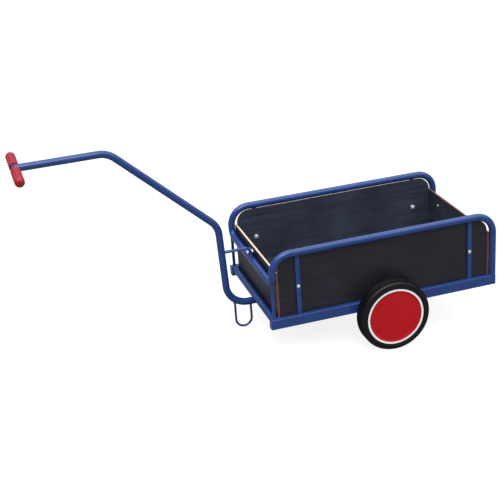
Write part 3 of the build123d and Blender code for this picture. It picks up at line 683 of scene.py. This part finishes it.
def arc(centre, radius, start, end, count=6):
    """Profile points along an arc, angles in degrees from the radius direction."""
    angles = [math.radians(start + (end - start) * i / count) for i in range(count + 1)]
    return [(centre[0] + radius * math.cos(a), centre[1] + radius * math.sin(a)) for a in angles]


print("lathe ready")

# %% [markdown]
# **Fasteners.** The side boards are held by dome-head coach bolts, with the nut and washer inside. The
# tree puts one fastener on each seat point and turns it to the direction stored there.

# %% The fastener tree
fastener_tree, sockets = new_tree("fastener_at_seats", {
    "Fastener": ("Object", None),
    "Material": ("Material", None),
})
shape = add(fastener_tree, "GeometryNodeObjectInfo", {"Object": sockets["Fastener"]})
facing = add(fastener_tree, "GeometryNodeInputNamedAttribute", {"Name": "facing"},
             data_type="FLOAT_VECTOR")
aim = add(fastener_tree, "FunctionNodeAlignRotationToVector", {"Vector": facing.outputs[0]}, axis="Z")
copies = add(fastener_tree, "GeometryNodeInstanceOnPoints",
             {"Points": sockets["Geometry"], "Instance": shape.outputs["Geometry"],
              "Rotation": aim.outputs[0]})
close_tree(fastener_tree, copies.outputs[0], sockets["Material"])


def fasten(bm, name, seats, node):
    """Put the drawn fastener on every seat, (place, facing), in place of a CAD node."""
    stamp = linked(bm, name + "_pattern")
    points = bpy.data.meshes.new(name + "_seats")
    points.from_pydata([place for place, _ in seats], [], [])
    facing = points.attributes.new("facing", "FLOAT_VECTOR", "POINT")
    facing.data.foreach_set("vector", [v for _, direction in seats for v in direction])
    source = bpy.data.objects.new(name + "_seats", points)
    scene.collection.objects.link(source)
    piece = grow(source, fastener_tree, name, "zinc_steel", zinc, Fastener=stamp)
    bpy.data.objects.remove(stamp)
    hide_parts(node)


print("fastener tree")

# %% Coach bolts, washers and nuts
def hexagon(bm, flats, height, hole, base=0.0, bevel_foot=True):
    """A hexagon with turned chamfers, standing on base, with a round hole if hole is over 0."""
    steps, top = 48, 0.96 * flats / 2
    rings = []
    for i in range(steps):
        t = i * math.tau / steps
        corner = flats / 2 / math.cos((t + math.pi / 6) % (math.pi / 3) - math.pi / 6)
        cut = (corner - top) / math.tan(math.radians(60))
        foot = cut if bevel_foot else 0.0
        profile = [(top if bevel_foot else corner, base), (corner, base + foot),
                   (corner, base + height - cut), (top, base + height)]
        profile = [(hole, base)] + profile + [(hole, base + height)] if hole else profile
        rings.append([bm.verts.new((r * math.cos(t), r * math.sin(t), z)) for r, z in profile])
    for one, two in zip(rings, rings[1:] + rings[:1]):
        for k in range(len(one) if hole else len(one) - 1):
            m = (k + 1) % len(one)
            bm.faces.new((one[k], two[k], two[m], one[m]))
    if not hole:
        bm.faces.new([column[0] for column in reversed(rings)])
        bm.faces.new([column[-1] for column in rings])
    bmesh.ops.recalc_face_normals(bm, faces=bm.faces)


def thread(radius, start, end, pitch=1.0):
    """Profile of a threaded end from start down to end: ridges a pitch apart and a small lead."""
    points = []
    height = start
    while height - pitch > end + pitch / 2:
        points += [(radius, height), (radius - 0.35 * pitch, height - pitch / 2)]
        height -= pitch
    return points + [(radius, height), (radius - 0.6, end), (0, end)]


BOLT_Z, BOLT_R, WASHER_T, NUT_H = 278, 3.0, 1.6, 5.0
HEAD_R, HEAD_EDGE, HEAD_RISE = 6.5, 0.5, 3.1  # the dome, its upright edge, and its height above that
BOLT_END = -(BAR_T + BOARD_T + WASHER_T + NUT_H + 2.0)  # and 2 mm past the nut
OUTSIDE, INSIDE = TRACK + BAR_T / 2, TRACK - BAR_T / 2 - BOARD_T
spots = [(x, side) for x in UPRIGHTS for side in (-1, 1)]
bolt_seats = [((x, side * OUTSIDE, BOLT_Z), (0, side, 0)) for x, side in spots]
inner_seats = [((x, side * INSIDE, BOLT_Z), (0, -side, 0)) for x, side in spots]
bm = bmesh.new()
dome = [(HEAD_R * math.cos(math.radians(a)), HEAD_EDGE + HEAD_RISE * math.sin(math.radians(a)))
        for a in range(15, 90, 15)]
head = [(BOLT_R, 0.0), (HEAD_R, 0.0), (HEAD_R, HEAD_EDGE)] + dome + [(0, HEAD_EDGE + HEAD_RISE)]
lathe(bm, thread(BOLT_R, -BAR_T, BOLT_END)[::-1] + head, 24)
fasten(bm, "coach_bolts", bolt_seats, "side_board_bolts")
bm = bmesh.new()
lathe(bm, [(3.05, 0.0), (9.0, 0.0), (9.0, 1.3), (8.7, WASHER_T), (3.05, WASHER_T)], 32, closed=True)
fasten(bm, "coach_bolt_washers", inner_seats, "side_board_washers")
bm = bmesh.new()
hexagon(bm, 10.0, NUT_H, 2.9, base=WASHER_T)
fasten(bm, "coach_bolt_nuts", inner_seats, "side_board_nuts")

# %% Strut bolt and nut
STRUT_BOLT_Z, STRUT_BOLT_R, STRUT_FLATS = 327, 4.0, 13.0
bm = bmesh.new()
hexagon(bm, STRUT_FLATS, 5.3, 0.0, bevel_foot=False)
shank = thread(STRUT_BOLT_R, -4.0, -18.0, 1.25)[::-1] + [(STRUT_BOLT_R, 0.01), (0, 0.01)]
lathe(bm, shank, 24)
head_seat = (-LUG_T - STRUT_T, 0, STRUT_BOLT_Z)
fasten(bm, "strut_hex_bolt", [(head_seat, (-1, 0, 0))], "strut_bolt")
bm = bmesh.new()
hexagon(bm, STRUT_FLATS, 6.5, 3.9)
fasten(bm, "strut_hex_nut", [((0, 0, STRUT_BOLT_Z), (1, 0, 0))], "strut_nut")

# %% [markdown]
# **Screws.** The end boards are screwed to the cross tubes, and the floor to its bearers. A cross recess
# is cut into the head of each kind with a Boolean, and the finished screw goes into the same tree.

# %% Screws with a cross recess
def cross_recess(bm, top, arm, width, depth):
    """The screw whose head ends at height top, with a tapered cross cut into it."""
    head = linked(bm, "head")
    cutters = []
    for quarter in (0, math.pi / 2):
        blade = bmesh.new()
        bmesh.ops.create_cube(blade, size=1.0)
        for vert in blade.verts:
            taper, rise = (1.0, 0.5) if vert.co.z > 0 else (0.35, -depth)
            vert.co = Vector((vert.co.x * 2 * arm * taper, vert.co.y * width, top + rise))
        blade.transform(Matrix.Rotation(quarter, 4, "Z"))
        cutter = linked(blade, "blade")
        cut = head.modifiers.new("cut", "BOOLEAN")
        cut.object, cut.operation, cut.solver = cutter, "DIFFERENCE", "EXACT"
        cutters.append(cutter)
    carved = made_from(head)
    for scrap in cutters + [head]:
        bpy.data.objects.remove(scrap)
    return carved


WALL_X = 13.0 + BOARD_T  # inner face of an end board, from the hoops' legs
FLOOR_Z, WALL_SCREW_Y, FLOOR_SCREW_Y = 188, 150, 180
for end_name, x, inward in (("front", WALL_X, 1), ("rear", BED_REAR - WALL_X, -1)):
    bm = bmesh.new()
    shank = [(0, 0.2 - BOARD_T), (2.0, 0.2 - BOARD_T), (2.5, 0.7 - BOARD_T), (2.5, 0.0)]
    lathe(bm, shank + [(5.0, 0.0), (5.0, 0.9), (4.3, 1.9), (2.6, 2.6), (0, 2.6)], 24)
    seats = [((x, y, CROSS_Z), (inward, 0, 0)) for y in (-WALL_SCREW_Y, WALL_SCREW_Y)]
    pan_head = cross_recess(bm, 2.6, 2.4, 0.9, 1.5)
    fasten(pan_head, f"{end_name}_pan_screws", seats, f"{end_name}_board_screws")
bm = bmesh.new()
lathe(bm, [(0, -16.0), (2.0, -16.0), (2.5, -15.4), (2.5, -2.5), (5.0, 0.0), (0, 0.0)], 24)
floor_seats = [((x, y, FLOOR_Z), (0, 0, 1)) for x in BEARERS for y in (-FLOOR_SCREW_Y, FLOOR_SCREW_Y)]
flat_head = cross_recess(bm, 0.0, 2.6, 0.9, 1.6)
fasten(flat_head, "floor_countersunk_screws", floor_seats, "floor_screws")

# %% [markdown]
# **Round and round.** Tread blocks sit around a tyre and ridges around a grip in the same way: copies of
# one small shape at equal angles about an axis. The tree turns a row of points into turned instances.

# %% The ring tree
ring_tree, sockets = new_tree("copies_around_axis", {
    "Copy": ("Object", None),
    "Count": ("Int", 12),
    "Phase": ("Float", 0.0),
    "Material": ("Material", None),
})
shape = add(ring_tree, "GeometryNodeObjectInfo", {"Object": sockets["Copy"]})
row = add(ring_tree, "GeometryNodePoints", {"Count": sockets["Count"]})
index = add(ring_tree, "GeometryNodeInputIndex").outputs[0]
shifted = add(ring_tree, "ShaderNodeMath", {0: index, 1: sockets["Phase"]}, operation="ADD")
share = add(ring_tree, "ShaderNodeMath", {0: shifted.outputs[0], 1: sockets["Count"]},
            operation="DIVIDE")
angle = add(ring_tree, "ShaderNodeMath", {0: share.outputs[0], 1: math.tau}, operation="MULTIPLY")
spin = add(ring_tree, "ShaderNodeCombineXYZ", {"Z": angle.outputs[0]})
copies = add(ring_tree, "GeometryNodeInstanceOnPoints",
             {"Points": row.outputs[0], "Instance": shape.outputs["Geometry"],
              "Rotation": spin.outputs[0]})
body_and_copies = add(ring_tree, "GeometryNodeJoinGeometry", {0: copies.outputs[0]})
ring_tree.links.new(sockets["Geometry"], body_and_copies.inputs[0])
close_tree(ring_tree, body_and_copies.outputs[0], sockets["Material"])


def copies_around(core, rows, count, material, place, name, body, node):
    """Add rows of copies, (pattern, phase), to a turned core, move it to its place and keep it."""
    for pattern, phase in rows:
        feed(core, ring_tree, Copy=pattern, Count=count, Phase=phase, Material=material)
    bm = made_from(core)
    for scrap in [core] + [pattern for pattern, _ in rows]:
        bpy.data.objects.remove(scrap)
    bm.transform(place)
    piece = finished_piece(bm, name, body, [material])
    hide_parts(node)
    print(f"{piece.name}: {len(piece.data.polygons)} faces")


def outward_at(x, y, z, side):
    """The place of a turned shape whose own Z axis points out of the cart's side."""
    return Matrix.Translation((x, side * y, z)) @ Matrix.Rotation(-side * math.pi / 2, 4, "X")


print("ring tree")

# %% [markdown]
# **Tyres.** Solid black rubber, moulded with two rows of small blocks on the shoulders and a grooved band
# between them. The sidewall has a fine raised line where the two halves of the mould met the tread ring.
# The carcass is turned, and the blocks come from the ring tree, a different phase on each side.

# %% Solid tyres with a block tread
TYRE_INNER, TYRE_WIDTH = 250.5, 52.0
BLOCKS, BLOCK_SHARE = 76, 0.72  # blocks in a row, and their share of the way round
carcass = (
    [(88.0, 0.0), (104.0, 0.0)] + arc((104.0, 0.8), 0.8, -90, 0, 3)
    + [(106.5, 0.8), (107.3, 0.2), (111.0, 0.6)]
    + arc((115.7, 9.0), 8.4, -75, -8, 6)
    + [(124.0, 12.0), (122.6, 15.5), (124.6, 16.5), (125.0, 17.5), (125.0, 23.0), (124.2, 23.6)]
    + [(124.2, 28.4), (125.0, 29.0), (125.0, 34.5), (124.6, 35.5), (122.6, 36.5), (124.0, 40.0)]
    + arc((115.7, 43.0), 8.4, 8, 75, 6)
    + [(111.0, 51.4), (107.3, 51.8), (106.5, 51.2), (104.8, 51.2), (104.0, 51.9), (102.0, 51.9)]
    + [(102.0, 47.4), (88.0, 47.4)]
)


def tread_block(low, high):
    """One shoulder block between two angles, its top on the tyre's outline, across one shoulder."""
    outline = [(121.0, 15.0), (124.6, 15.0), (125.0, 14.6), (125.0, 9.5)]
    outline += arc((116.3, 9.0), 8.7, -4, -70, 6) + [(112.0, 1.6), (113.0, 8.0)]
    bm = bmesh.new()
    ends = []
    for t in (low, high):
        ends.append([bm.verts.new((r * math.cos(t), r * math.sin(t), y)) for r, y in outline])
    for k in range(len(outline)):
        m = (k + 1) % len(outline)
        bm.faces.new((ends[0][k], ends[0][m], ends[1][m], ends[1][k]))
    bm.faces.new(list(reversed(ends[0])))
    bm.faces.new(ends[1])
    bmesh.ops.recalc_face_normals(bm, faces=bm.faces)
    return bm


half = BLOCK_SHARE / 2 * math.tau / BLOCKS
mirrored = Matrix.Translation((0, 0, TYRE_WIDTH)) @ Matrix.Scale(-1, 4, (0, 0, 1))
for side_name, side in (("left", -1), ("right", 1)):
    shell = bmesh.new()
    lathe(shell, carcass, 2 * BLOCKS, closed=True)
    inner_block = tread_block(-half, half)
    outer_block = tread_block(-half, half)
    outer_block.transform(mirrored)
    bmesh.ops.reverse_faces(outer_block, faces=outer_block.faces)
    rows = ((linked(inner_block, "inner_block"), 0.0), (linked(outer_block, "outer_block"), 0.5))
    place = outward_at(AXLE_X, TYRE_INNER, WHEEL_R, side)
    copies_around(linked(shell, "carcass"), rows, BLOCKS, rubber, place,
                  f"{side_name}_treaded_tyre", f"{side_name}_wheel",
                  f"{side_name}_tyre")

# %% [markdown]
# **Grips.** Soft red vinyl, dip-moulded as a sleeve with a domed end and pushed onto the T-bar. Fine
# ridges run along the middle, where the hand holds it. The sleeve is turned and the ridges are copies
# around it, all within the sleeve's outside diameter of 33 mm.

# %% Grips with ridges
GRIP_START, GRIP_R, RIDGES = 20.5, 16.5, 32
sleeve = (
    [(11.0, 0.0), (13.5, 0.0)] + arc((GRIP_R - 1.6, 1.5), 1.5, -90, 0, 3)
    + [(16.3, 9.0), (15.8, 10.5), (15.8, 105.5), (16.3, 107.0), (16.4, 111.0)]
    + arc((3.4, 111.0), 13.0, 0, 90, 8) + [(0, 124.0), (0, 120.5), (11.0, 120.5)]
)


def ridge():
    """A rounded ridge along the sleeve, at angle 0, that runs out at both ends."""
    bm = bmesh.new()
    ends = []
    section = ((0.1, -0.75), (0.62, -0.5), (0.86, 0.0), (0.62, 0.5), (0.1, 0.75))
    for height, rise in ((11.2, 0.0), (12.4, 1.0), (103.6, 1.0), (104.8, 0.0)):
        ends.append([bm.verts.new((GRIP_R - 0.9 + rise * up, across, height))
                     for up, across in section])
    for one, two in zip(ends, ends[1:]):
        for k in range(4):
            bm.faces.new((one[k], one[k + 1], two[k + 1], two[k]))
        bm.faces.new((one[4], one[0], two[0], two[4]))
    bm.faces.new(ends[0])
    bm.faces.new(list(reversed(ends[-1])))
    bmesh.ops.recalc_face_normals(bm, faces=bm.faces)
    return bm


for side_name, side in (("left", -1), ("right", 1)):
    shell = bmesh.new()
    lathe(shell, sleeve, 48, closed=True)
    rows = ((linked(ridge(), "ridge"), 0.0),)
    place = outward_at(T_X, GRIP_START, T_Z, side)
    copies_around(linked(shell, "sleeve"), rows, RIDGES, vinyl, place,
                  f"{side_name}_ridged_grip", "cart", f"{side_name}_grip")
